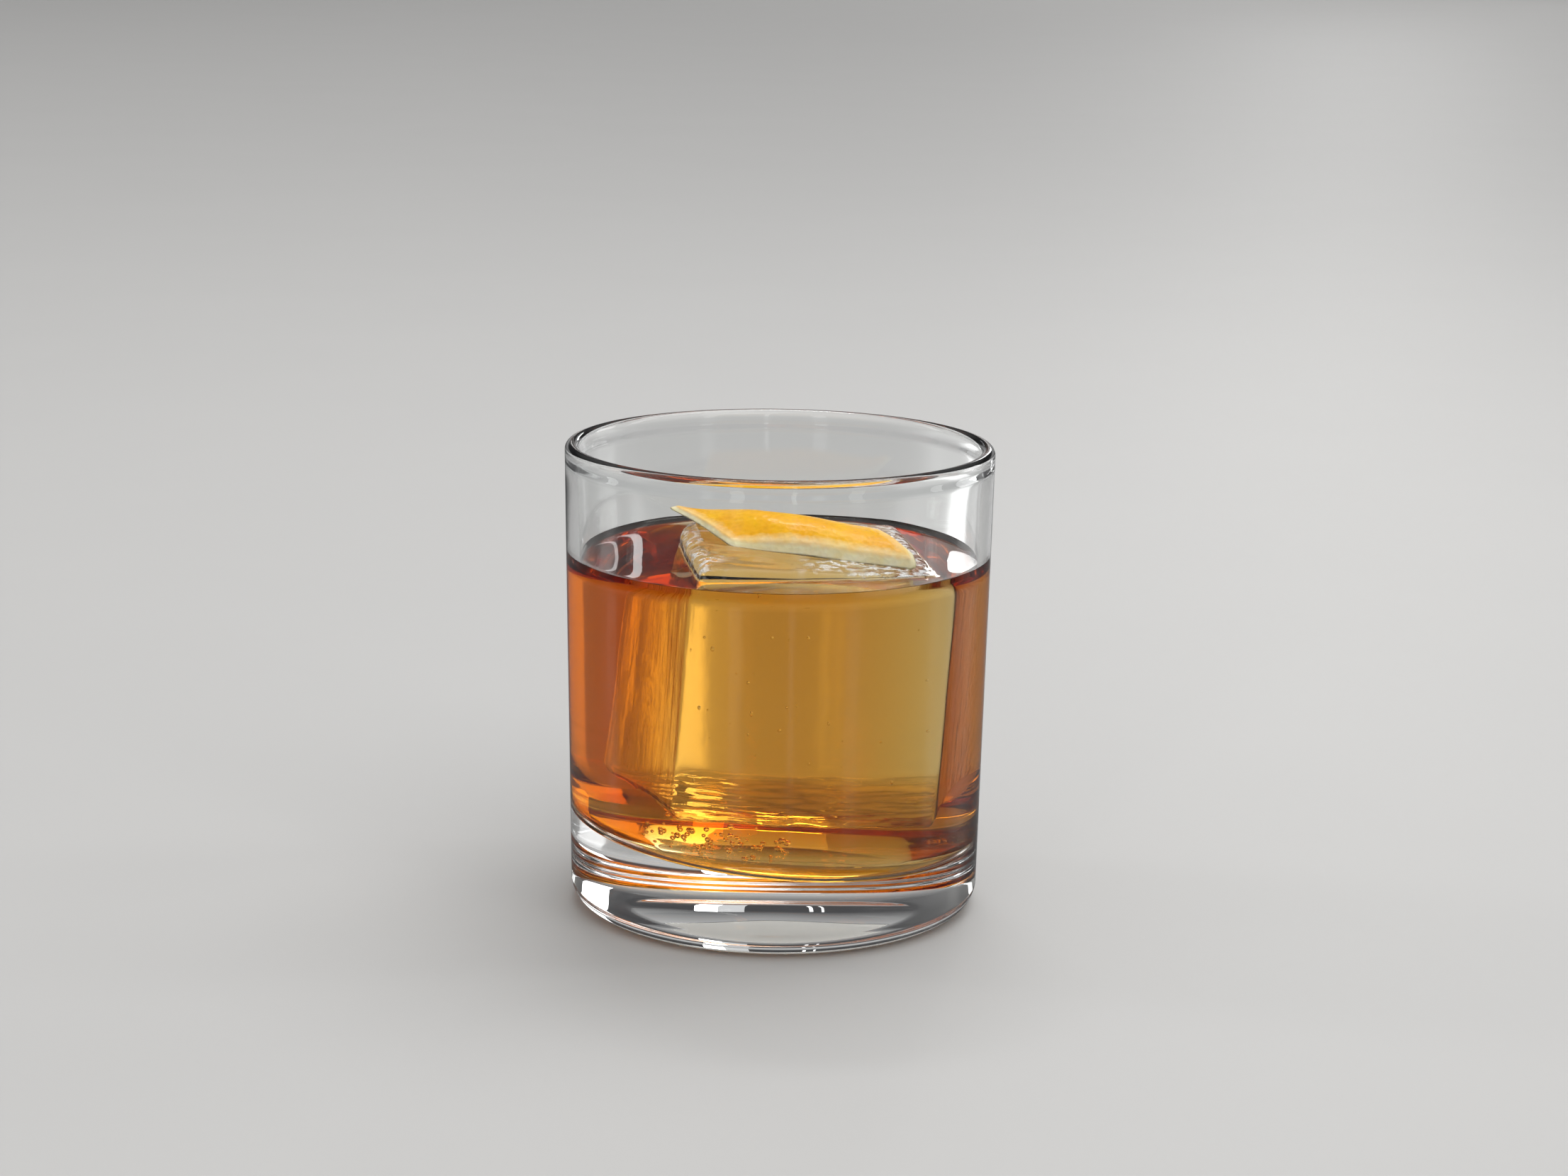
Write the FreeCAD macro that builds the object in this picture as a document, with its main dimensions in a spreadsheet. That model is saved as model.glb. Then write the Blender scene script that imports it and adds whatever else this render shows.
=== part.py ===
import FreeCAD, Part
import math
import os

import Sketcher

# An old fashioned: a heavy tumbler, the drink in it, one large clear ice block afloat in the drink, and a
# strip of orange peel lying on the ice. The tumbler stands on z = 0 with its axis on the Z axis, its front
# towards -Y. Sizes are millimetres and degrees.

driving_sizes = [
    ("glass_height", 95.0),      # table to the top of the rim
    ("rim_diameter", 86.4),      # outside, at the rim
    ("side_diameter", 83.4),     # outside, where the side meets the heel
    ("wall_thickness", 2.6),
    ("bead_swell", 0.4),         # the fire-polished bead round the rim is thicker than the wall by this
    ("heel_radius", 5.0),
    ("base_thickness", 16.2),    # glass under the middle of the floor
    ("floor_tilt", 4.7),         # how far the floor leans, as the thick base is uneven
    ("floor_heading", -12.0),    # the way the floor falls, from +X towards +Y
    ("floor_rounding", 4.0),     # where the wall meets the floor inside
    ("punt_diameter", 38.0),     # the hollow under the base
    ("punt_depth", 1.6),
    ("empty_height", 23.0),      # rim down to the drink
    ("fill_gap", 0.1),           # between the drink and what it touches
    ("ice_corner_gap", 5.2),     # an upright edge of a centred ice block to the wall at the floor
    ("ice_floor_gap", 7.0),
    ("ice_freeboard", 2.2),      # the middle of the ice's top above the drink
    ("ice_rounding", 2.5),
    ("ice_turn", 8.5),
    ("ice_lean", 3.6),           # its top leans towards +X
    ("ice_rise", 1.4),           # its back stands higher than its front
    ("ice_aside", 5.3),
    ("ice_behind", 0.4),
    ("peel_length", 37.0),       # along either long edge
    ("peel_width", 17.5),
    ("peel_thickness", 2.2),
    ("peel_curl", 15.0),         # radius of the outside, across the strip
    ("peel_skew", 46.0),         # both ends are cut on the slant
    ("peel_corner", 1.2),
    ("peel_gap", 0.15),          # between the peel's long edges and the ice
    ("peel_turn", -20.3),        # on the ice, as are the next two
    ("peel_aside", -3.2),
    ("peel_behind", 1.1),
]

doc = FreeCAD.newDocument("OldFashioned")
sizes = doc.addObject("Spreadsheet::Sheet", "sizes")
for row, (alias, number) in enumerate(driving_sizes, start=1):
    sizes.set("A%d" % row, alias)
    sizes.set("B%d" % row, str(number))
    sizes.setAlias("B%d" % row, alias)
doc.recompute()

# Lengths that follow from the sheet, written as expressions.
rim_radius = "sizes.rim_diameter / 2"
side_radius = "sizes.side_diameter / 2"
bead_radius = "((sizes.wall_thickness + sizes.bead_swell) / 2)"
bead_height = "(sizes.glass_height - %s)" % bead_radius
punt_radius = "sizes.punt_diameter / 2"
shoulder = ("(%s - sqrt(pow(%s; 2) - pow(sizes.wall_thickness - %s; 2)))"
            % (bead_height, bead_radius, bead_radius))        # where the bead meets the wall inside
taper = "((%s - %s) / (%s - sizes.heel_radius))" % (rim_radius, side_radius, bead_height)
fill_height = "(sizes.glass_height - sizes.empty_height)"
floor_drop = "(sizes.rim_diameter / 2 * tan(sizes.floor_tilt * 1 deg))"
lowest_floor = "(sizes.base_thickness - %s)" % floor_drop     # as low as the leaning floor can reach
bore_at_floor = ("(%s - sizes.wall_thickness - %s * (%s - sizes.base_thickness))"
                 % (rim_radius, taper, shoulder))
ice_side = "(sqrt(2) * (%s - sizes.ice_corner_gap))" % bore_at_floor
ice_height = ("(%s + sizes.ice_freeboard - sizes.base_thickness - sizes.ice_floor_gap)"
              % fill_height)
peel_shift = "(sizes.peel_width / 2 * tan(sizes.peel_skew * 1 deg))"
peel_inside = "(sizes.peel_curl - sizes.peel_thickness)"
peel_axis = "sqrt(pow(%s; 2) - pow(sizes.peel_width / 2; 2))" % peel_inside
peel_edge = "(sqrt(pow(sizes.peel_curl; 2) - pow(sizes.peel_width / 2; 2)) - %s)" % peel_axis

trim_margin = 2.0                # how far the waste cut off the peel's ends reaches past it


def number_of(expression):
    result = sizes.evalExpression(str(expression))
    return float(getattr(result, "Value", result))


def add_sketch(body, role, name):
    plane = next(feature for feature in body.Origin.OriginFeatures if feature.Role == role)
    sketch = body.newObject("Sketcher::SketchObject", name)
    sketch.AttachmentSupport = (plane, [""])
    sketch.MapMode = "FlatFace"
    return sketch


def bind(sketch, constraint, expression):
    index = sketch.addConstraint(constraint)
    if expression is not None:
        sketch.setExpression("Constraints[%d]" % index, str(expression))


def pin_point(sketch, edge, end, place):
    """Ties one end of an edge to its distances from the sketch's origin; an axis takes the place of a zero."""
    across, up = place
    for kind, expression, axis in (("DistanceX", across, -2), ("DistanceY", up, -1)):
        if expression == "0":
            bind(sketch, Sketcher.Constraint("PointOnObject", edge, end, axis), None)
        else:
            bind(sketch, Sketcher.Constraint(kind, -1, 1, edge, end, number_of(expression)), expression)


def draw_outline(sketch, corners, arcs):
    """Closed outline through the corners. arcs[i] turns edge i, from corner i on, into an arc:
    (centre across, centre up, radius, +1 anticlockwise or -1 clockwise)."""
    first = sketch.GeometryCount
    points = [FreeCAD.Vector(number_of(across), number_of(up), 0) for across, up in corners]
    starts = []
    for i, start in enumerate(points):
        end = points[(i + 1) % len(points)]
        if i not in arcs:
            sketch.addGeometry(Part.LineSegment(start, end))
            starts.append((1, 2))
            continue
        centre_across, centre_up, radius, direction = arcs[i]
        centre = FreeCAD.Vector(number_of(centre_across), number_of(centre_up), 0)
        begin, finish = (start, end) if direction > 0 else (end, start)
        angles = [math.atan2(point.y - centre.y, point.x - centre.x) for point in (begin, finish)]
        if angles[1] < angles[0]:
            angles[1] += 2 * math.pi
        circle = Part.Circle(centre, FreeCAD.Vector(0, 0, 1), number_of(radius))
        sketch.addGeometry(Part.ArcOfCircle(circle, angles[0], angles[1]))
        starts.append((1, 2) if direction > 0 else (2, 1))
    for i in range(len(points)):
        following = (i + 1) % len(points)
        bind(sketch, Sketcher.Constraint("Coincident", first + i, starts[i][1],
                                         first + following, starts[following][0]), None)
    for i, place in enumerate(corners):
        pin_point(sketch, first + i, starts[i][0], place)
    for i, (centre_across, centre_up, radius, direction) in arcs.items():
        bind(sketch, Sketcher.Constraint("Radius", first + i, number_of(radius)), radius)


def revolve(body, sketch, name):
    turned = body.newObject("PartDesign::Revolution", name)
    turned.Profile = sketch
    turned.ReferenceAxis = (sketch, ["V_Axis"])
    turned.Angle = 360
    doc.recompute()
    return turned


def round_edges(body, feature, edges, radius, name):
    rounded = body.newObject("PartDesign::Fillet", name)
    rounded.Base = (feature, edges)
    rounded.setExpression("Radius", radius)
    doc.recompute()
    return rounded


def draw_floor_disc(sketch, height, radius):
    """A disc on the leaning floor, or on a plane beside it, centred at that height over the base."""
    sketch.setExpression("AttachmentOffset.Base.z", height)
    sketch.setExpression("AttachmentOffset.Rotation.Axis.x", "-sin(sizes.floor_heading * 1 deg)")
    sketch.setExpression("AttachmentOffset.Rotation.Axis.y", "cos(sizes.floor_heading * 1 deg)")
    sketch.setExpression("AttachmentOffset.Rotation.Axis.z", "0")
    sketch.setExpression("AttachmentOffset.Rotation.Angle", "sizes.floor_tilt")
    circle = Part.Circle(FreeCAD.Vector(0, 0, 0), FreeCAD.Vector(0, 0, 1), number_of(radius))
    sketch.addGeometry(circle)
    bind(sketch, Sketcher.Constraint("Coincident", 0, 3, -1, 1), None)
    bind(sketch, Sketcher.Constraint("Radius", 0, number_of(radius)), radius)


def edge_on_plane(shape, placement):
    """The edge that lies in the XY plane of placement."""
    for i, edge in enumerate(shape.Edges):
        points = [] if edge.Degenerated else edge.discretize(8)
        if points and max(abs(placement.inverse().multVec(point).z) for point in points) < 1e-4:
            return "Edge%d" % (i + 1)
    raise RuntimeError("no edge lies in the plane of the floor")


def make_tumbler():
    """One turned section, from the punt round the heel and over the bead to a level floor, which a leaning
    disc of glass then fills up to the real one."""
    body = doc.addObject("PartDesign::Body", "Tumbler")
    sketch = add_sketch(body, "XZ_Plane", "GlassSection")
    wall_foot = "(%s - sizes.wall_thickness - %s * (%s - %s))" % (rim_radius, taper, shoulder, lowest_floor)
    bead_middle = "%s - %s" % (rim_radius, bead_radius)
    corners = [
        ("0", "sizes.punt_depth"),
        (punt_radius, "0"),
        ("%s - sizes.heel_radius" % side_radius, "0"),
        (side_radius, "sizes.heel_radius"),
        (rim_radius, bead_height),
        (bead_middle, "sizes.glass_height"),
        ("%s - sizes.wall_thickness" % rim_radius, shoulder),
        (wall_foot, lowest_floor),
        ("0", lowest_floor),
    ]
    punt_curve = "((pow(%s; 2) + pow(sizes.punt_depth; 2)) / (2 * sizes.punt_depth))" % punt_radius
    arcs = {
        0: ("0", "sizes.punt_depth - %s" % punt_curve, punt_curve, -1),
        2: (corners[2][0], "sizes.heel_radius", "sizes.heel_radius", 1),
        4: (bead_middle, bead_height, bead_radius, 1),
        5: (bead_middle, bead_height, bead_radius, 1),
    }
    draw_outline(sketch, corners, arcs)
    revolve(body, sketch, "GlassTurned")

    top = add_sketch(body, "XY_Plane", "FloorDisc")
    draw_floor_disc(top, "sizes.base_thickness", "%s + sizes.wall_thickness / 2" % wall_foot)
    floor = body.newObject("PartDesign::Pad", "FloorFilled")
    floor.Profile = top
    floor.Reversed = True
    floor.setExpression("Length", "2 * %s" % floor_drop)
    doc.recompute()
    round_edges(body, floor, [edge_on_plane(floor.Shape, top.Placement)], "sizes.floor_rounding",
                "FloorRounded")
    return body


def make_fill():
    """What fills the tumbler up to the drink's level, clear of the glass all round by the fill gap."""
    body = doc.addObject("PartDesign::Body", "Fill")
    sketch = add_sketch(body, "XZ_Plane", "FillSection")
    radius_at = "%s - sizes.wall_thickness - sizes.fill_gap - %s * (%s - %s)"
    corners = [
        ("0", lowest_floor),
        (radius_at % (rim_radius, taper, shoulder, lowest_floor), lowest_floor),
        (radius_at % (rim_radius, taper, shoulder, fill_height), fill_height),
        ("0", fill_height),
    ]
    draw_outline(sketch, corners, {})
    revolve(body, sketch, "FillTurned")

    waste = add_sketch(body, "XY_Plane", "BelowFloor")
    draw_floor_disc(waste, "sizes.base_thickness + sizes.fill_gap", "sizes.rim_diameter")
    floor = body.newObject("PartDesign::Pocket", "FillCut")
    floor.Profile = waste
    floor.Type = "ThroughAll"
    doc.recompute()
    round_edges(body, floor, [edge_on_plane(floor.Shape, waste.Placement)],
                "sizes.floor_rounding - sizes.fill_gap", "FillRounded")
    return body


def make_ice(name, gap):
    """The ice block, or the hollow it floats in, larger by gap. Its own origin is the middle of its top."""
    body = doc.addObject("PartDesign::Body", name)
    sketch = add_sketch(body, "XY_Plane", name + "Outline")
    sketch.setExpression("AttachmentOffset.Base.z", gap)
    half = "(%s / 2 + %s)" % (ice_side, gap)
    corners = [("-%s" % half, "-%s" % half), (half, "-%s" % half), (half, half), ("-%s" % half, half)]
    draw_outline(sketch, corners, {})
    block = body.newObject("PartDesign::Pad", name + "Block")
    block.Profile = sketch
    block.Reversed = True
    block.setExpression("Length", "%s + 2 * %s" % (ice_height, gap))
    doc.recompute()
    every_edge = ["Edge%d" % (i + 1) for i in range(len(block.Shape.Edges))]
    round_edges(body, block, every_edge, "sizes.ice_rounding + %s" % gap, name + "Rounded")
    body.setExpression("Placement", "placement(vector(sizes.ice_aside; sizes.ice_behind; "
                       "%s + sizes.ice_freeboard); "
                       "rotation(sizes.ice_turn; sizes.ice_lean; sizes.ice_rise))" % fill_height)
    return body


def make_peel(ice):
    """The curled strip, cut on the slant at both ends. It stands on its long edges, on top of the ice."""
    body = doc.addObject("PartDesign::Body", "Peel")
    section = add_sketch(body, "YZ_Plane", "PeelSection")
    half_length = "(sizes.peel_length / 2 + %s)" % peel_shift
    section.setExpression("AttachmentOffset.Base.z", "-%s" % half_length)
    corners = [
        ("-sizes.peel_width / 2", "0"),
        ("-sizes.peel_width / 2", peel_edge),
        ("sizes.peel_width / 2", peel_edge),
        ("sizes.peel_width / 2", "0"),
    ]
    arcs = {
        1: ("0", "-%s" % peel_axis, "sizes.peel_curl", -1),
        3: ("0", "-%s" % peel_axis, peel_inside, 1),
    }
    draw_outline(section, corners, arcs)
    strip = body.newObject("PartDesign::Pad", "PeelStrip")
    strip.Profile = section
    strip.setExpression("Length", "2 * %s" % half_length)
    doc.recompute()

    waste = add_sketch(body, "XY_Plane", "PeelEnds")
    waste.setExpression("AttachmentOffset.Base.z", "sizes.peel_curl")
    slant = "(sizes.peel_width / 2 + %s) * tan(sizes.peel_skew * 1 deg)" % trim_margin
    side = "(sizes.peel_width / 2 + %s)" % trim_margin
    for end in ("-1", "1"):
        draw_outline(waste, [
            ("%s * (sizes.peel_length / 2 - %s)" % (end, slant), "%s * %s" % (end, side)),
            ("%s * (sizes.peel_length / 2 + %s)" % (end, slant), "-%s * %s" % (end, side)),
            ("%s * (sizes.peel_length / 2 + %s)" % (end, slant), "%s * %s" % (end, side)),
        ], {})
    ends = body.newObject("PartDesign::Pocket", "PeelTrimmed")
    ends.Profile = waste
    ends.Type = "ThroughAll"
    doc.recompute()

    upright = [i for i, edge in enumerate(ends.Shape.Edges)
               if len(edge.Vertexes) == 2
               and (edge.Vertexes[0].Point - edge.Vertexes[1].Point).cross(FreeCAD.Vector(0, 0, 1)).Length < 1e-6]
    round_edges(body, ends, ["Edge%d" % (i + 1) for i in upright], "sizes.peel_corner", "PeelRounded")
    body.setExpression("Placement", "%s.Placement * placement(vector(sizes.peel_aside; "
                       "sizes.peel_behind; sizes.peel_gap); "
                       "rotation(vector(0; 0; 1); sizes.peel_turn))" % ice.Name)
    return body


def make_drink(fill, hollow):
    cut = doc.addObject("Part::Cut", "Drink")
    cut.Base = fill
    cut.Tool = hollow
    doc.recompute()
    return cut


tumbler = make_tumbler()
ice_block = make_ice("Ice", "0")
drink = make_drink(make_fill(), make_ice("IceHollow", "sizes.fill_gap"))
citrus_peel = make_peel(ice_block)
doc.recompute()

nodes = {"tumbler": tumbler, "drink": drink, "ice_block": ice_block, "citrus_peel": citrus_peel}
for label, piece in nodes.items():
    piece.Label = label

for thing in doc.Objects:
    if "Invalid" in thing.State or "Error" in thing.State:
        raise RuntimeError("%s did not build: %s" % (thing.Name, thing.State))

os.makedirs("parts", exist_ok=True)
for label, piece in nodes.items():
    shape = piece.Shape
    if shape.isNull() or not shape.isValid() or len(shape.Solids) != 1:
        raise RuntimeError("%s is not one good solid" % label)
    print("%-12s volume %8.1f mm3, box %s" % (label, shape.Volume, shape.BoundBox))
    shape.exportStep("parts/%s.step" % label)
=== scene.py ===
import math
import random

import bmesh
import bpy
from mathutils import Matrix, Vector, noise


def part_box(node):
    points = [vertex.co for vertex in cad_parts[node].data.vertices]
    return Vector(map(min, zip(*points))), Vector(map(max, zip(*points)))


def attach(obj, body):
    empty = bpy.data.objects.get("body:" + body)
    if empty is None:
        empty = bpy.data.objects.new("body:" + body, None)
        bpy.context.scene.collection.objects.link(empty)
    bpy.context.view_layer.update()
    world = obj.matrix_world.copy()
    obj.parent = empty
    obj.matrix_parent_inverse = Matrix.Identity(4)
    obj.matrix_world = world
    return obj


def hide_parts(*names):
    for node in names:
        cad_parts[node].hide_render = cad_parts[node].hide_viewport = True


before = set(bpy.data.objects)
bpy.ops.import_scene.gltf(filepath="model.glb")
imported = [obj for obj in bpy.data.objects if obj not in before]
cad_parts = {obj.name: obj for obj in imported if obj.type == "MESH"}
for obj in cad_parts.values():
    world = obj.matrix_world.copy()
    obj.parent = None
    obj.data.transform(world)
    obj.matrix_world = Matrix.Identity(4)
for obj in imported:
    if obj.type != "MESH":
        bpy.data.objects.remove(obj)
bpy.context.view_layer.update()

scene = bpy.context.scene
mm = 0.001
print("frame loaded")

glassLow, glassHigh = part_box("tumbler")
drinkLow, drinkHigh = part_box("drink")
iceLow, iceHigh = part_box("ice_block")


# small helpers

def smoothStep(low, high, value):
    t = min(max((value - low) / (high - low), 0.0), 1.0)
    return t * t * (3 - 2 * t)


def mix(a, b, t):
    return a + (b - a) * t


def addNode(tree, kind, settings=None, **inputs):
    made = tree.nodes.new("ShaderNode" + kind)
    for name, value in (settings or {}).items():
        setattr(made, name, value)
    for name, value in inputs.items():
        made.inputs[name.replace("_", " ")].default_value = value
    return made


def newMaterial(name, **inputs):
    material = bpy.data.materials.new(name)
    material.use_nodes = True
    tree = material.node_tree
    shader = tree.nodes["Principled BSDF"]
    for socket, value in inputs.items():
        shader.inputs[socket.replace("_", " ")].default_value = value
    return material, tree, shader


def objectNoise(tree, scale, detail=3.0, roughness=0.55, stretch=None, shift=(0, 0, 0)):
    # noise on the piece's own coordinates, in metres, so scale is ripples per metre
    place = addNode(tree, "TexCoord")
    turn = addNode(tree, "Mapping", Scale=stretch or (1, 1, 1), Location=shift)
    made = addNode(tree, "TexNoise", Scale=scale, Detail=detail, Roughness=roughness)
    tree.links.new(place.outputs["Object"], turn.inputs["Vector"])
    tree.links.new(turn.outputs["Vector"], made.inputs["Vector"])
    return made


def mapRange(tree, source, fromLow, fromHigh, toLow, toHigh):
    made = addNode(tree, "MapRange", {"clamp": True})
    limits = {"From Min": fromLow, "From Max": fromHigh, "To Min": toLow, "To Max": toHigh}
    for name, value in limits.items():
        made.inputs[name].default_value = value
    tree.links.new(source, made.inputs["Value"])
    return made.outputs["Result"]


def addBump(tree, shader, height, distance, strength=1.0, under=None):
    bump = addNode(tree, "Bump", Strength=strength, Distance=distance)
    tree.links.new(height, bump.inputs["Height"])
    if under is not None:
        tree.links.new(under.outputs["Normal"], bump.inputs["Normal"])
    tree.links.new(bump.outputs["Normal"], shader.inputs["Normal"])
    return bump


def addPiece(name, bm, material, node):
    mesh = bpy.data.meshes.new(name)
    bm.to_mesh(mesh)
    bm.free()
    for polygon in mesh.polygons:
        polygon.use_smooth = True
    mesh.materials.append(material)
    piece = bpy.data.objects.new(name, mesh)
    scene.collection.objects.link(piece)
    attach(piece, "root")
    if node:
        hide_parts(node)
    print(name, "made,", len(mesh.polygons), "faces")
    return piece


def joinValues(tree, operation, first, second):
    made = addNode(tree, "Math", {"operation": operation})
    tree.links.new(first, made.inputs[0])
    tree.links.new(second, made.inputs[1])
    return made.outputs[0]


def multiply(tree, first, second):
    return joinValues(tree, "MULTIPLY", first, second)


def larger(tree, first, second):
    return joinValues(tree, "MAXIMUM", first, second)


def colourRamp(tree, source, low, lowColour, high, highColour):
    made = addNode(tree, "ValToRGB")
    for stop, place, colour in zip(made.color_ramp.elements, (low, high), (lowColour, highColour)):
        stop.position, stop.color = place, colour
    tree.links.new(source, made.inputs["Fac"])
    return made.outputs["Color"]


def tintMix(tree, share, first, second):
    # first and second are colours or colour sockets
    made = addNode(tree, "Mix", {"data_type": "RGBA"})
    tree.links.new(share, made.inputs["Factor"])
    for place, value in (("A", first), ("B", second)):
        if isinstance(value, tuple):
            made.inputs[place].default_value = value
        else:
            tree.links.new(value, made.inputs[place])
    return made.outputs["Result"]


def roundCorner(bm, vert, offset, segments):
    bmesh.ops.bevel(bm, geom=[vert], offset=offset, offset_type="OFFSET", affect="VERTICES",
                    segments=segments, profile=0.5, material=-1)


def drawSection(bm, corners):
    # corners are (radius, height, rounding, segments); the section's wire is left in bm
    verts = [bm.verts.new((radius, 0, height)) for radius, height, rounding, segments in corners]
    for start, end in zip(verts, verts[1:]):
        bm.edges.new((start, end))
    for vert, (radius, height, rounding, segments) in zip(verts, corners):
        if rounding > 0:
            roundCorner(bm, vert, rounding, segments)
    bmesh.ops.remove_doubles(bm, verts=bm.verts[:], dist=0.002 * mm)


def divideLong(bm, longest):
    for edge in bm.edges[:]:
        cuts = int(edge.calc_length() / longest)
        if cuts:
            bmesh.ops.subdivide_edges(bm, edges=[edge], cuts=cuts)


def turnSection(bm, steps):
    bmesh.ops.spin(bm, geom=bm.verts[:] + bm.edges[:], cent=(0, 0, 0), axis=(0, 0, 1), dvec=(0, 0, 0),
                   angle=math.tau, steps=steps, use_merge=True, use_duplicate=False)
    bmesh.ops.remove_doubles(bm, verts=bm.verts[:], dist=0.002 * mm)
    bmesh.ops.recalc_face_normals(bm, faces=bm.faces[:])


def addBubble(bm, centre, radius, flatten=1.0):
    # an air bubble is a small cavity, so its faces point into it
    made = bmesh.ops.create_icosphere(bm, subdivisions=2, radius=radius)
    bmesh.ops.scale(bm, vec=(1, 1, flatten), verts=made["verts"])
    bmesh.ops.translate(bm, vec=centre, verts=made["verts"])
    faces = {face for vert in made["verts"] for face in vert.link_faces}
    bmesh.ops.reverse_faces(bm, faces=list(faces))


# camera

cameraValues = {
    "lens": 73.24,
    "place": (0.0, -0.63121, 0.20516),
    "down": 12.51,
    "aside": 0.11,
    "roll": 0.92,
}


def makeCamera():
    down, aside, roll = (math.radians(cameraValues[key]) for key in ("down", "aside", "roll"))
    ahead = Vector((math.sin(aside) * math.cos(down), math.cos(aside) * math.cos(down), -math.sin(down)))
    right = ahead.cross(Vector((0, 0, 1))).normalized()
    up = right.cross(ahead)
    across = right * math.cos(roll) + up * math.sin(roll)
    above = up * math.cos(roll) - right * math.sin(roll)
    data = bpy.data.cameras.new("camera")
    data.lens = cameraValues["lens"]
    data.sensor_width = 36
    data.clip_start, data.clip_end = 0.01, 60
    camera = bpy.data.objects.new("camera", data)
    turned = Matrix((across, above, -ahead)).transposed().to_4x4()
    camera.matrix_world = Matrix.Translation(cameraValues["place"]) @ turned
    scene.collection.objects.link(camera)
    scene.camera = camera


# floor and light

studio = {
    "floorReach": 20.0,
    "floorLevel": -0.1 * mm,         # just clear of the glass, so that the base mirrors
    "floorColour": (0.50, 0.495, 0.486, 1),
    "floorMirrored": (0.09, 0.09, 0.09, 1),
    "floorGloss": 0.55,
    "floorGlossMirrored": 0.42,
    "floorGlossThrough": 0.18,
    "toneScale": 9.0,
    "toneShare": 0.03,
    "toneColour": (0.3, 0.3, 0.3, 1),
    "worldColour": (0.50, 0.50, 0.50, 1),
    "worldMirrored": (0.06, 0.06, 0.063, 1),    # a dark band above the horizon, as a black flag makes
    "bandFoot": (0.10, 0.16),                   # sine of the elevation where the band fades in
    "bandTop": (0.30, 0.60),                    # and where it fades out
    "worldLight": 0.55,
    "aim": (0, 0, 0.05),
    "lamps": {
        # name: (bearing from +Y towards +X, elevation, distance, width, height, brightness)
        "keyWindow": (54, 15, 6.2, 2.2, 1.6, 3.3),
        "topSoft": (150, 54, 4.5, 3.2, 3.2, 2.0),
        "pool": (42, 66, 1.3, 0.8, 0.8, 3.0),
        "backHigh": (8, 55, 9.0, 5.0, 3.6, 0.4),
        "peelGlint": (-8, 60, 4.0, 0.9, 0.30, 18.0),
        "goldWindow": (11.2, 13, 6.2, 0.46, 1.3, 5.0),
        "goldSide": (6.8, 13, 6.2, 0.50, 1.3, 0.6),
        "backStripA": (-6.0, 13, 6.6, 0.070, 0.78, 1.7),
        "backStripB": (-8.0, 13, 6.6, 0.050, 0.90, 1.3),
        "frontLeft": (-157, 16, 4.5, 0.60, 2.4, 3.0),
        "frontMiddle": (172, 16, 4.5, 0.20, 2.4, 4.0),
        "frontRight": (137, 16, 4.5, 0.60, 2.4, 2.4),
        "sideLeft": (-75, 25, 4.8, 0.70, 2.7, 3.0),
        "sideRight": (82, 28, 4.8, 0.70, 2.7, 3.0),
    },
}


def makeFloor():
    material, tree, shader = newMaterial("paleFloor", Specular_IOR_Level=0.2)
    tone = objectNoise(tree, studio["toneScale"], detail=4)
    path = addNode(tree, "LightPath")
    shown = tintMix(tree, path.outputs["Is Glossy Ray"], studio["floorColour"], studio["floorMirrored"])
    # a ray that glass has bent counts as glossy too, so this choice comes second
    shown = tintMix(tree, path.outputs["Is Transmission Ray"], shown, studio["floorColour"])
    cloudy = mapRange(tree, tone.outputs["Fac"], 0.3, 0.7, 0.0, studio["toneShare"])
    tint = tintMix(tree, cloudy, shown, studio["toneColour"])
    tree.links.new(tint, shader.inputs["Base Color"])
    gloss = mapRange(tree, path.outputs["Is Glossy Ray"], 0, 1,
                     studio["floorGloss"], studio["floorGlossMirrored"])
    clearer = addNode(tree, "Math", {"operation": "MULTIPLY_ADD"})
    clearer.inputs[1].default_value = studio["floorGlossThrough"] - studio["floorGlossMirrored"]
    tree.links.new(path.outputs["Is Transmission Ray"], clearer.inputs[0])
    tree.links.new(gloss, clearer.inputs[2])
    tree.links.new(clearer.outputs[0], shader.inputs["Roughness"])
    bm = bmesh.new()
    bmesh.ops.create_grid(bm, x_segments=8, y_segments=8, size=studio["floorReach"])
    bmesh.ops.translate(bm, vec=(0, 0, studio["floorLevel"]), verts=bm.verts[:])
    mesh = bpy.data.meshes.new("floor")
    bm.to_mesh(mesh)
    bm.free()
    mesh.materials.append(material)
    floor = bpy.data.objects.new("floor", mesh)
    scene.collection.objects.link(floor)


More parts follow.
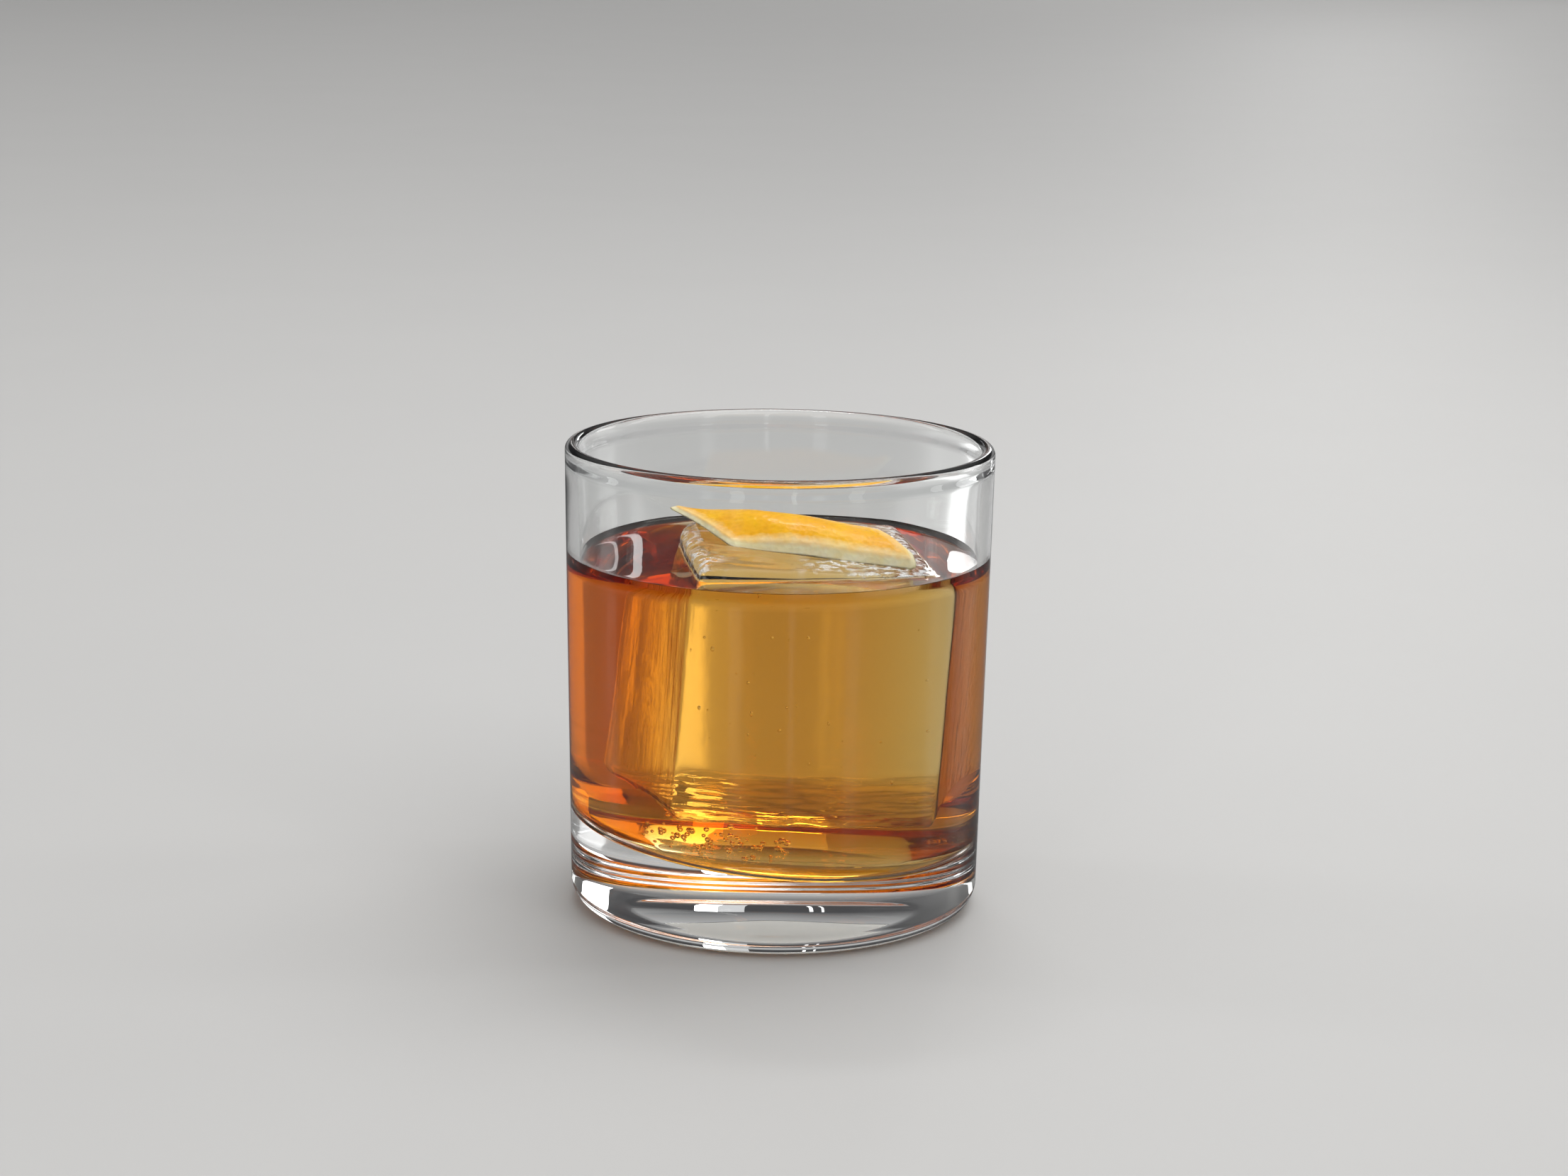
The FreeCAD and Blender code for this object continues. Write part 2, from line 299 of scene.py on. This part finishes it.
def makeLights():
    world = bpy.data.worlds.new("studio")
    scene.world = world
    world.use_nodes = True
    tree = world.node_tree
    background = tree.nodes["Background"]
    background.inputs["Color"].default_value = (1, 1, 1, 1)
    background.inputs["Strength"].default_value = studio["worldLight"]
    seen = addNode(tree, "Background", Strength=1.0)
    place = addNode(tree, "TexCoord")
    apart = addNode(tree, "SeparateXYZ")
    tree.links.new(place.outputs["Generated"], apart.inputs["Vector"])
    band = multiply(tree, mapRange(tree, apart.outputs["Z"], *studio["bandFoot"], 0.0, 1.0),
                    mapRange(tree, apart.outputs["Z"], *studio["bandTop"], 1.0, 0.0))
    path = addNode(tree, "LightPath")
    band = multiply(tree, band, mapRange(tree, path.outputs["Is Camera Ray"], 0, 1, 1.0, 0.0))
    tint = tintMix(tree, band, studio["worldColour"], studio["worldMirrored"])
    tree.links.new(tint, seen.inputs["Color"])
    share = path.outputs["Is Camera Ray"]
    for kind in ("Is Glossy Ray", "Is Transmission Ray"):
        share = larger(tree, share, path.outputs[kind])
    blend = addNode(tree, "MixShader")
    tree.links.new(share, blend.inputs["Fac"])
    tree.links.new(background.outputs[0], blend.inputs[1])
    tree.links.new(seen.outputs[0], blend.inputs[2])
    tree.links.new(blend.outputs[0], tree.nodes["World Output"].inputs["Surface"])
    aim = Vector(studio["aim"])
    for name, (bearing, elevation, distance, width, height, brightness) in studio["lamps"].items():
        turn, climb = math.radians(bearing), math.radians(elevation)
        away = Vector((math.sin(turn) * math.cos(climb), math.cos(turn) * math.cos(climb), math.sin(climb)))
        data = bpy.data.lights.new(name, "AREA")
        data.shape = "RECTANGLE"
        data.size, data.size_y = width, height
        data.energy = brightness * math.pi * width * height
        lamp = bpy.data.objects.new(name, data)
        lamp.location = aim + away * distance
        lamp.rotation_euler = (-away).to_track_quat("-Z", "Y").to_euler()
        lamp.visible_camera = False
        scene.collection.objects.link(lamp)


# tumbler

tumbler = {
    "rimRadius": glassHigh.x,
    "height": glassHigh.z,
    "sideRadius": 41.7 * mm,
    "wall": 2.6 * mm,
    "bead": 3.0 * mm,
    "beadEnd": 2.6 * mm,             # below the rim, as is the next
    "wallStart": 4.4 * mm,
    "taperStart": 2.5 * mm,
    "heel": 5.0 * mm,
    "base": 16.2 * mm,
    "floorTilt": 4.7,
    "floorHeading": -12.0,
    "floorRounding": 4.0 * mm,
    "puntRadius": 19.0 * mm,
    "puntDepth": 1.6 * mm,
    "steps": 240,
    "waver": 0.035 * mm,
    "contact": drinkHigh.z + 1.1 * mm,      # where the drink's edge meets the glass
    "mirror": (0.45, 0.45, 0.45, 1),        # dark, so that faces inside the drink mirror little
}
taper = (tumbler["rimRadius"] - tumbler["sideRadius"]) / (tumbler["height"] - tumbler["heel"])


def boreRadius(height):
    below = tumbler["height"] - tumbler["taperStart"] - height
    return tumbler["rimRadius"] - tumbler["wall"] - taper * below


def floorRise(x, y):
    # how far the leaning floor is above its middle
    heading = math.radians(tumbler["floorHeading"])
    fall = x * math.cos(heading) + y * math.sin(heading)
    return -math.tan(math.radians(tumbler["floorTilt"])) * fall


def leanFloor(bm, reach):
    # reach(vert) says which verts are on the inside; the lean fades out up the wall
    for vert in bm.verts:
        if reach(vert):
            fade = 1 - smoothStep(tumbler["base"] + 5 * mm, tumbler["base"] + 30 * mm, vert.co.z)
            vert.co.z += fade * floorRise(vert.co.x, vert.co.y)


def glassMaterial():
    material, tree, shader = newMaterial("clearGlass", Base_Color=(0.985, 0.995, 0.992, 1), IOR=1.52,
                                         Transmission_Weight=1.0, Specular_Tint=tumbler["mirror"])
    smudge = objectNoise(tree, 55.0, detail=4, stretch=(1, 1, 0.5))
    hazy = mapRange(tree, smudge.outputs["Fac"], 0.56, 0.78, 0.0, 0.035)
    tree.links.new(hazy, shader.inputs["Roughness"])
    ripple = objectNoise(tree, 38.0, detail=1)
    addBump(tree, shader, ripple.outputs["Fac"], 0.10 * mm)
    return material


def makeTumbler():
    t = tumbler
    rim, top = t["rimRadius"], t["height"]
    puntRadius, puntDepth = t["puntRadius"], t["puntDepth"]
    puntSlope = math.asin(2 * puntRadius * puntDepth / (puntRadius ** 2 + puntDepth ** 2))
    puntBend = puntDepth / math.tan(puntSlope)
    bm = bmesh.new()
    drawSection(bm, [
        (0, puntDepth, 0, 0),
        (puntRadius - puntBend, puntDepth, 0.96 * puntBend, 10),
        (puntRadius, 0, 1.0 * mm, 6),
        (t["sideRadius"] - 0.1 * mm, 0, t["heel"], 14),
        (rim, top, t["bead"] / 2, 9),
        (rim - t["bead"], top, t["bead"] / 2, 9),
        (rim - t["bead"], top - t["beadEnd"], 0.6 * mm, 4),
        (rim - t["wall"], top - t["wallStart"], 0.6 * mm, 4),
        (boreRadius(t["contact"]), t["contact"], 0, 0),
        (boreRadius(t["base"]), t["base"], t["floorRounding"], 12),
        (0, t["base"], 0, 0),
    ])
    divideLong(bm, 4 * mm)
    turnSection(bm, t["steps"])

    def isInside(vert):
        radius = math.hypot(vert.co.x, vert.co.y)
        return vert.co.z > t["base"] / 2 and radius < boreRadius(vert.co.z) + 0.6 * mm

    leanFloor(bm, isInside)
    for vert in bm.verts:
        if vert.co.z > 1 * mm:
            push = noise.noise(vert.co * 42 + Vector((3, 7, 1))) * t["waver"]
            side = Vector((vert.co.x, vert.co.y, 0))
            if side.length > 5 * mm:
                vert.co += side.normalized() * push
    return addPiece("tumbler_glass", bm, glassMaterial(), "tumbler")


# ice

ice = {
    "side": 48.3 * mm,
    "height": 51.0 * mm,
    "turn": 8.5,
    "lean": 3.6,
    "rise": 1.4,
    "rounding": 2.5 * mm,
    "backRounding": 14.0 * mm,       # a rounder back left edge
    "mirror": (0.3, 0.3, 0.3, 1),
    "swell": 0.30 * mm,              # how far melting moves the faces, as do the next five
    "leftFlutes": 0.13 * mm,
    "frontFlutes": 0.07 * mm,
    "underRipples": 0.42 * mm,
    "topSunk": 0.08 * mm,
    "topRipples": 0.16 * mm,
    "cuts": 47,
    "frost": {
        "flecks": 520.0,
        "patches": 110.0,
        "clearness": 0.15,           # Transmission Weight of a fleck
        "height": 1.6 * mm,
        "rightEnd": (3 * mm, 12 * mm),          # places along X or Y where the frost fades in
        "rightRim": (17 * mm, 23 * mm),
        "leftEnd": (-9 * mm, -14 * mm),
        "forward": (-12 * mm, -17 * mm),
        "leftRim": (3.5 * mm, 1.0 * mm),        # from the block's left face
    },
    "bubbles": 34,
    "seed": 11,
}
iceTurn = (Matrix.Rotation(math.radians(ice["turn"]), 4, "Z")
           @ Matrix.Rotation(math.radians(ice["lean"]), 4, "Y")
           @ Matrix.Rotation(math.radians(ice["rise"]), 4, "X"))
icePlace = Matrix.Translation((iceLow + iceHigh) / 2) @ iceTurn      # from the block's own middle
waterLine = drinkHigh.z + 0.15 * mm                                  # on the ice's sides


def meltedDepth(place, normal):
    # how far melting has moved the ice's face outwards, from place and normal in the block's own axes
    depth = ice["swell"] * noise.noise(place * 55 + Vector((1, 4, 9)))
    if normal.x < -0.6:
        flute = noise.noise(Vector((place.x * 40, place.y * 330, place.z * 40)))
        depth += ice["leftFlutes"] * flute * smoothStep(2 * mm, -20 * mm, place.y)
    if normal.y < -0.6:
        flute = noise.noise(Vector((place.x * 260, place.y * 40, place.z * 26 + 5)))
        depth += ice["frontFlutes"] * flute * smoothStep(6 * mm, -22 * mm, place.x)
    if normal.z < -0.6:
        depth += ice["underRipples"] * noise.noise(Vector((place.x * 190, place.y * 330, 2.0)))
    if normal.z > 0.6:
        depth -= ice["topSunk"]
        depth += ice["topRipples"] * noise.noise(Vector((place.x * 160, place.y * 340, 7.0)))
    return depth


def iceBody(shrink):
    bm = bmesh.new()
    bmesh.ops.create_cube(bm, size=1)
    bmesh.ops.scale(bm, vec=(ice["side"], ice["side"], ice["height"]), verts=bm.verts[:])
    bmesh.ops.bevel(bm, geom=bm.edges[:], offset=ice["rounding"], offset_type="OFFSET", affect="EDGES",
                    segments=5, profile=0.5, material=-1)
    longEdges = [edge for edge in bm.edges if edge.calc_length() > ice["side"] / 2]
    bmesh.ops.subdivide_edges(bm, edges=longEdges, cuts=ice["cuts"], use_grid_fill=True)
    bmesh.ops.recalc_face_normals(bm, faces=bm.faces[:])
    bm.normal_update()
    moves = [vert.normal * (meltedDepth(vert.co, vert.normal) - shrink) for vert in bm.verts]
    for vert, move in zip(bm.verts, moves):
        vert.co += move
        middle = ice["side"] / 2 - ice["backRounding"]
        x, y = vert.co.x + middle, vert.co.y - middle
        if x < 0 and y > 0:
            rounder = max(-x, y) / math.hypot(x, y)
            vert.co.x, vert.co.y = x * rounder - middle, y * rounder + middle
    bmesh.ops.transform(bm, matrix=icePlace, verts=bm.verts[:])
    return bm


def iceMaterial():
    material, tree, shader = newMaterial("clearIce", Base_Color=(0.985, 0.99, 0.995, 1), IOR=1.315,
                                         Transmission_Weight=1.0, Specular_Tint=ice["mirror"])
    place = addNode(tree, "TexCoord")
    apart = addNode(tree, "SeparateXYZ")
    tree.links.new(place.outputs["Object"], apart.inputs["Vector"])
    dry = mapRange(tree, apart.outputs["Z"], waterLine - 0.1 * mm, waterLine + 0.15 * mm, 0.0, 1.0)
    inBlock = addNode(tree, "Mapping", {"vector_type": "TEXTURE"})
    inBlock.inputs["Location"].default_value = icePlace.translation
    inBlock.inputs["Rotation"].default_value = icePlace.to_euler()
    tree.links.new(place.outputs["Object"], inBlock.inputs["Vector"])
    blockApart = addNode(tree, "SeparateXYZ")
    tree.links.new(inBlock.outputs["Vector"], blockApart.inputs["Vector"])
    values = ice["frost"]
    frost = objectNoise(tree, values["flecks"], detail=3, roughness=0.6)
    patch = objectNoise(tree, values["patches"], detail=2)
    patchy = mapRange(tree, patch.outputs["Fac"], 0.40, 0.54, 0.0, 1.0)
    rimFrom, rimTo = (depth - ice["side"] / 2 for depth in values["leftRim"])
    leftRim = mapRange(tree, blockApart.outputs["X"], rimFrom, rimTo, 0.0, 0.9)
    rightRim = mapRange(tree, apart.outputs["X"], *values["rightRim"], 0.0, 1.0)
    rightEnd = mapRange(tree, apart.outputs["X"], *values["rightEnd"], 0.0, 1.0)
    leftEnd = mapRange(tree, apart.outputs["X"], *values["leftEnd"], 0.0, 0.8)
    forward = mapRange(tree, apart.outputs["Y"], *values["forward"], 0.0, 1.0)
    either = larger(tree, rightEnd, multiply(tree, leftEnd, forward))
    either = larger(tree, leftRim, either)
    shown = multiply(tree, larger(tree, rightRim, multiply(tree, patchy, either)), dry)
    flecks = multiply(tree, mapRange(tree, frost.outputs["Fac"], 0.48, 0.54, 0.0, 1.0), shown)
    clear = mapRange(tree, flecks, 0.0, 1.0, 1.0, values["clearness"])
    tree.links.new(clear, shader.inputs["Transmission Weight"])
    grain = mapRange(tree, frost.outputs["Fac"], 0.40, 0.62, 0.0, 0.14)
    tree.links.new(multiply(tree, grain, shown), shader.inputs["Roughness"])
    wet = objectNoise(tree, 230.0, detail=3, stretch=(1, 1.6, 0.35))
    slow = addBump(tree, shader, wet.outputs["Fac"], 0.06 * mm)
    addBump(tree, shader, multiply(tree, frost.outputs["Fac"], shown), values["height"], under=slow)
    return material


def makeIce():
    bm = iceBody(0.0)
    dice = random.Random(ice["seed"])
    for count in range(ice["bubbles"]):
        along = Vector((dice.uniform(-0.42, 0.42), dice.uniform(-0.40, 0.42), dice.uniform(-0.46, 0.2)))
        spot = Vector((along.x * ice["side"], along.y * ice["side"], along.z * ice["height"]))
        addBubble(bm, icePlace @ spot, dice.uniform(0.10, 0.28) * mm, flatten=dice.uniform(1.0, 2.2))
    return addPiece("ice_block_clear", bm, iceMaterial(), "ice_block")


# drink

drink = {
    "level": drinkHigh.z,
    "intoGlass": 0.2 * mm,
    "inIce": 0.15 * mm,
    "wallRise": tumbler["contact"] - drinkHigh.z,
    "iceRise": waterLine - drinkHigh.z,
    "riseReach": 1.3 * mm,
    "rings": 34,
    "bubbles": 70,
    "seed": 5,
    "stain": (0.944, 0.736, 0.13, 1),
    "density": 125.0,
    "mirror": (0.12, 0.12, 0.12, 1),
    "overIce": 0.04 * mm,            # where the ice leans out, the surface is lifted over it
}


def drinkMaterial():
    material, tree, shader = newMaterial("amberDrink", Base_Color=(1, 1, 1, 1), IOR=1.345,
                                         Roughness=0.0, Transmission_Weight=1.0,
                                         Specular_Tint=drink["mirror"])
    swirl = objectNoise(tree, 70.0, detail=2)
    addBump(tree, shader, swirl.outputs["Fac"], 0.05 * mm)
    stain = addNode(tree, "VolumeAbsorption", Color=drink["stain"], Density=drink["density"])
    tree.links.new(stain.outputs["Volume"], tree.nodes["Material Output"].inputs["Volume"])
    return material


def aroundOrder(verts, centre):
    return sorted(verts, key=lambda vert: math.atan2(vert.co.y - centre.y, vert.co.x - centre.x))


def makeDrink(iceTop):
    # the hollow that the ice floats in, open at the water line
    bm = iceBody(drink["inIce"])
    number = bm.verts.layers.int.new("shoreNumber")
    bmesh.ops.bisect_plane(bm, geom=bm.verts[:] + bm.edges[:] + bm.faces[:], dist=0.001 * mm,
                           plane_co=(0, 0, waterLine), plane_no=(0, 0, 1), clear_outer=True)
    bmesh.ops.remove_doubles(bm, verts=bm.verts[:], dist=0.02 * mm)
    shore = [vert for vert in bm.verts if any(edge.is_boundary for edge in vert.link_edges)]
    middle = sum((vert.co for vert in shore), Vector()) / len(shore)
    shore = aroundOrder(shore, middle)
    count = len(shore)

    # the surface, ring by ring out to the glass
    outline = [vert.co.copy() for vert in shore]
    contact = drink["level"] + drink["wallRise"]
    edgeRadius = boreRadius(contact) + drink["intoGlass"]
    startAngle = math.atan2(outline[0].y, outline[0].x)
    for i, vert in enumerate(shore):
        vert[number] = i
    ring = [edge for edge in bm.edges if edge.is_boundary]
    for step in range(1, drink["rings"] + 1):
        part = 0.5 - 0.5 * math.cos(math.pi * step / drink["rings"])
        grown = bmesh.ops.extrude_edge_only(bm, edges=ring)["geom"]
        ring = [item for item in grown if isinstance(item, bmesh.types.BMEdge) and item.is_boundary]
        for vert in [item for item in grown if isinstance(item, bmesh.types.BMVert)]:
            angle = startAngle + math.tau * vert[number] / count
            wallSpot = Vector((edgeRadius * math.cos(angle), edgeRadius * math.sin(angle), 0))
            spot = outline[vert[number]].lerp(wallSpot, part)
            fromIce = (spot.xy - outline[vert[number]].xy).length
            fromWall = edgeRadius - spot.xy.length
            height = drink["level"]
            height += drink["wallRise"] * math.exp(-fromWall / drink["riseReach"])
            height += drink["iceRise"] * math.exp(-fromIce / drink["riseReach"])
            if step < drink["rings"]:
                height = max(height, iceTop(spot.x, spot.y) + drink["overIce"])
            else:
                height = contact
            vert.co = (spot.x, spot.y, height)
    bm.verts.layers.int.remove(number)

    # the side and the leaning floor, turned, and joined to the surface's last ring
    skin = bmesh.new()
    drawSection(skin, [
        (edgeRadius, contact, 0, 0),
        (boreRadius(tumbler["base"]) + drink["intoGlass"], tumbler["base"] - drink["intoGlass"],
         tumbler["floorRounding"], 12),
        (0, tumbler["base"] - drink["intoGlass"], 0, 0),
    ])
    divideLong(skin, 4 * mm)
    bmesh.ops.rotate(skin, cent=(0, 0, 0), matrix=Matrix.Rotation(startAngle, 3, "Z"), verts=skin.verts[:])
    turnSection(skin, count)
    leanFloor(skin, lambda vert: True)
    skinMesh = bpy.data.meshes.new("skin")
    skin.to_mesh(skinMesh)
    skin.free()
    bm.from_mesh(skinMesh)
    bpy.data.meshes.remove(skinMesh)
    bmesh.ops.remove_doubles(bm, verts=bm.verts[:], dist=0.01 * mm)
    openEdges = [edge for edge in bm.edges if not edge.is_manifold]
    bmesh.ops.recalc_face_normals(bm, faces=bm.faces[:])
    volume = round(bm.calc_volume(signed=True) * 1e6, 1)
    print("drink has", len(openEdges), "open edges and holds", volume, "ml")

    dice = random.Random(drink["seed"])
    for bubble in range(drink["bubbles"]):
        x, y = dice.uniform(-22, 2) * mm, dice.uniform(-26, -6) * mm
        radius = dice.uniform(0.25, 0.65) * mm
        z = tumbler["base"] + floorRise(x, y) + radius * 1.15 + dice.random() ** 3 * 4 * mm
        addBubble(bm, Vector((x, y, z)), radius)
    return addPiece("drink_amber", bm, drinkMaterial(), "drink")


# orange peel

peel = {
    "length": 39.0 * mm,
    "width": 18.6 * mm,
    "skew": 46.0,
    "thickness": 0.95 * mm,
    "bevel": 1.4 * mm,               # the cut sides slope, so that the pith shows
    "turn": -20.3,
    "aside": -3.1 * mm,
    "behind": 1.0 * mm,
    "sunk": 0.25 * mm,
    "curlMiddle": 10.7 * mm,
    "curlRight": 12.2 * mm,
    "tipRise": 3.2 * mm,
    "bluntCorner": 3.4 * mm,
    "sharpCorner": 1.2 * mm,
    "pores": 820.0,                  # per metre
    "poreDepth": 0.07 * mm,
    "pithAndPaintedSheenEdge": 0.40,                # how far the zest pales towards its near edge and ends: partly pith showing at the cut, partly a painted sheen standing in for reflected light
    "alongFaces": 110,
    "acrossFaces": 52,
    "zestDark": (0.86, 0.375, 0.0005, 1),
    "zestLight": (0.93, 0.50, 0.001, 1),
    "pithDark": (1.0, 0.80, 0.40, 1),
    "pithLight": (1.0, 0.89, 0.60, 1),
}
peelFoot = Vector((peel["aside"], peel["behind"], ice["height"] / 2 - peel["sunk"]))
peelPlace = (icePlace @ Matrix.Translation(peelFoot)
             @ Matrix.Rotation(math.radians(peel["turn"]), 4, "Z"))


def peelUnderside(along, across):
    # along and across run from -1 to 1 over the strip; a place on its inner face, in the strip's own axes
    half = peel["width"] / 2
    t = across * half
    corner = peel["bluntCorner"] if (along > 0) == (across < 0) else peel["sharpCorner"]
    over = max(abs(t) - (half - corner), 0.0) / corner
    reach = peel["length"] / 2 - corner * (1 - math.sqrt(max(1 - over * over, 0.0))) * 0.8
    x = along * reach - t * math.tan(math.radians(peel["skew"]))
    curl = mix(peel["curlMiddle"], peel["curlRight"], smoothStep(0.0, 1.0, along))
    arch = math.sqrt(curl ** 2 - t ** 2) - math.sqrt(curl ** 2 - half ** 2)
    slope = peel["tipRise"] * (0.5 + 0.5 * across) ** 0.85
    z = mix(slope, arch, smoothStep(-1.1, -0.25, along))
    z += 0.25 * mm * noise.noise(Vector((x * 90, t * 90, 3.0)))
    return Vector((x, t, z))


def peelSpot(along, across, depth):
    # depth 1 is the inner face and 0 the outer one
    shrink = peel["bevel"] * (1 - depth)
    along *= 1 - shrink / (peel["length"] / 2)
    across *= 1 - shrink / (peel["width"] / 2)
    spot = peelUnderside(along, across)
    step = 0.02
    ahead = peelUnderside(along + step, across) - peelUnderside(along - step, across)
    aside = peelUnderside(along, across * 0.97 + step) - peelUnderside(along, across * 0.97 - step)
    return spot + ahead.cross(aside).normalized() * peel["thickness"] * (1 - depth)


def peelMaterial():
    material, tree, shader = newMaterial("orangeZest", Roughness=0.3, IOR=1.45, Specular_IOR_Level=0.1,
                                         Coat_Weight=0.15, Coat_Roughness=0.12,
                                         Subsurface_Weight=0.18, Subsurface_Scale=1.5 * mm)
    shader.inputs["Subsurface Radius"].default_value = (1.0, 0.6, 0.2)
    pale = addNode(tree, "Attribute", {"attribute_name": "pale"})
    uneven = objectNoise(tree, 520.0, detail=3)
    shift = mapRange(tree, uneven.outputs["Fac"], 0.0, 1.0, -0.14, 0.14)
    total = joinValues(tree, "ADD", pale.outputs["Fac"], shift)
    # zest to pith share; its pale near edge and ends are partly pith and partly a painted sheen
    layers = colourRamp(tree, total, 0.12, (0, 0, 0, 1), 0.62, (1, 1, 1, 1))

    mottle = objectNoise(tree, 130.0, detail=4)
    zest = colourRamp(tree, mottle.outputs["Fac"], 0.30, peel["zestDark"], 0.72, peel["zestLight"])
    cells = addNode(tree, "TexVoronoi", {"feature": "F1"}, Scale=peel["pores"])
    place = addNode(tree, "TexCoord")
    tree.links.new(place.outputs["Object"], cells.inputs["Vector"])
    pores = mapRange(tree, cells.outputs["Distance"], 0.0, 0.45, 0.86, 1.0)
    darker = addNode(tree, "Mix", {"data_type": "RGBA", "blend_type": "MULTIPLY"})
    darker.inputs["Factor"].default_value = 1.0
    tree.links.new(zest, darker.inputs["A"])
    tree.links.new(pores, darker.inputs["B"])

    fibre = objectNoise(tree, 300.0, detail=5)
    pith = colourRamp(tree, fibre.outputs["Fac"], 0.3, peel["pithDark"], 0.65, peel["pithLight"])
    tree.links.new(tintMix(tree, layers, darker.outputs["Result"], pith), shader.inputs["Base Color"])

    gloss = addNode(tree, "Mix", {"data_type": "FLOAT"})
    gloss.inputs["A"].default_value = 0.24
    gloss.inputs["B"].default_value = 0.62
    tree.links.new(layers, gloss.inputs["Factor"])
    tree.links.new(gloss.outputs["Result"], shader.inputs["Roughness"])
    dimple = addBump(tree, shader, cells.outputs["Distance"], 0.10 * mm)
    addBump(tree, shader, fibre.outputs["Fac"], 0.12 * mm, under=dimple)
    return material


def makePeel():
    bm = bmesh.new()
    depth = bm.verts.layers.float.new("depth")
    pale = bm.verts.layers.float.new("pale")         # 0 zest, 1 pith; towards the near edge and the ends it also carries a painted pale sheen
    bmesh.ops.create_grid(bm, x_segments=peel["alongFaces"], y_segments=peel["acrossFaces"], size=1)
    grown = bmesh.ops.extrude_face_region(bm, geom=bm.faces[:])
    inner = [item for item in grown["geom"] if isinstance(item, bmesh.types.BMVert)]
    for vert in inner:
        vert[depth] = 1.0
    for vert in bm.verts:
        along, across = vert.co.x, vert.co.y
        # the near edge and the ends are paled, partly as pith at the cut and partly as a painted sheen
        # standing in for reflected light
        edge = max(smoothStep(0.70, 1.0, -across), 0.75 * smoothStep(0.76, 1.0, abs(along)))
        vert[pale] = max(vert[depth], peel["pithAndPaintedSheenEdge"] * edge)
        vert.co = peelSpot(along, across, vert[depth])
    walls = [edge for edge in bm.edges if edge.verts[0][depth] != edge.verts[1][depth]]
    bmesh.ops.subdivide_edges(bm, edges=walls, cuts=4)
    bmesh.ops.recalc_face_normals(bm, faces=bm.faces[:])
    bm.normal_update()
    moves = []
    for vert in bm.verts:
        if vert[depth] < 0.01:
            gap = noise.voronoi(vert.co * peel["pores"])[0][0]
            moves.append(-vert.normal * peel["poreDepth"] * (1 - smoothStep(0.0, 0.5, gap)))
        else:
            moves.append(vert.normal * 0.12 * mm * noise.noise(vert.co * 620) * vert[depth])
    for vert, move in zip(bm.verts, moves):
        vert.co += move
    bmesh.ops.transform(bm, matrix=peelPlace, verts=bm.verts[:])
    return addPiece("orange_peel", bm, peelMaterial(), "citrus_peel")


# everything together

scene.view_settings.view_transform = "Standard"
scene.cycles.max_bounces = 32
scene.cycles.transmission_bounces = 32
scene.cycles.glossy_bounces = 12
scene.cycles.sample_clamp_indirect = 6
makeCamera()
makeFloor()
makeLights()
print("studio made")
makeTumbler()
iceBlock = makeIce()
bpy.context.view_layer.update()


def iceTopHeight(x, y):
    hit, spot, normal, index = iceBlock.ray_cast(Vector((x, y, 0.2)), Vector((0, 0, -1)))
    return spot.z if hit else -1.0


makeDrink(iceTopHeight)
makePeel()
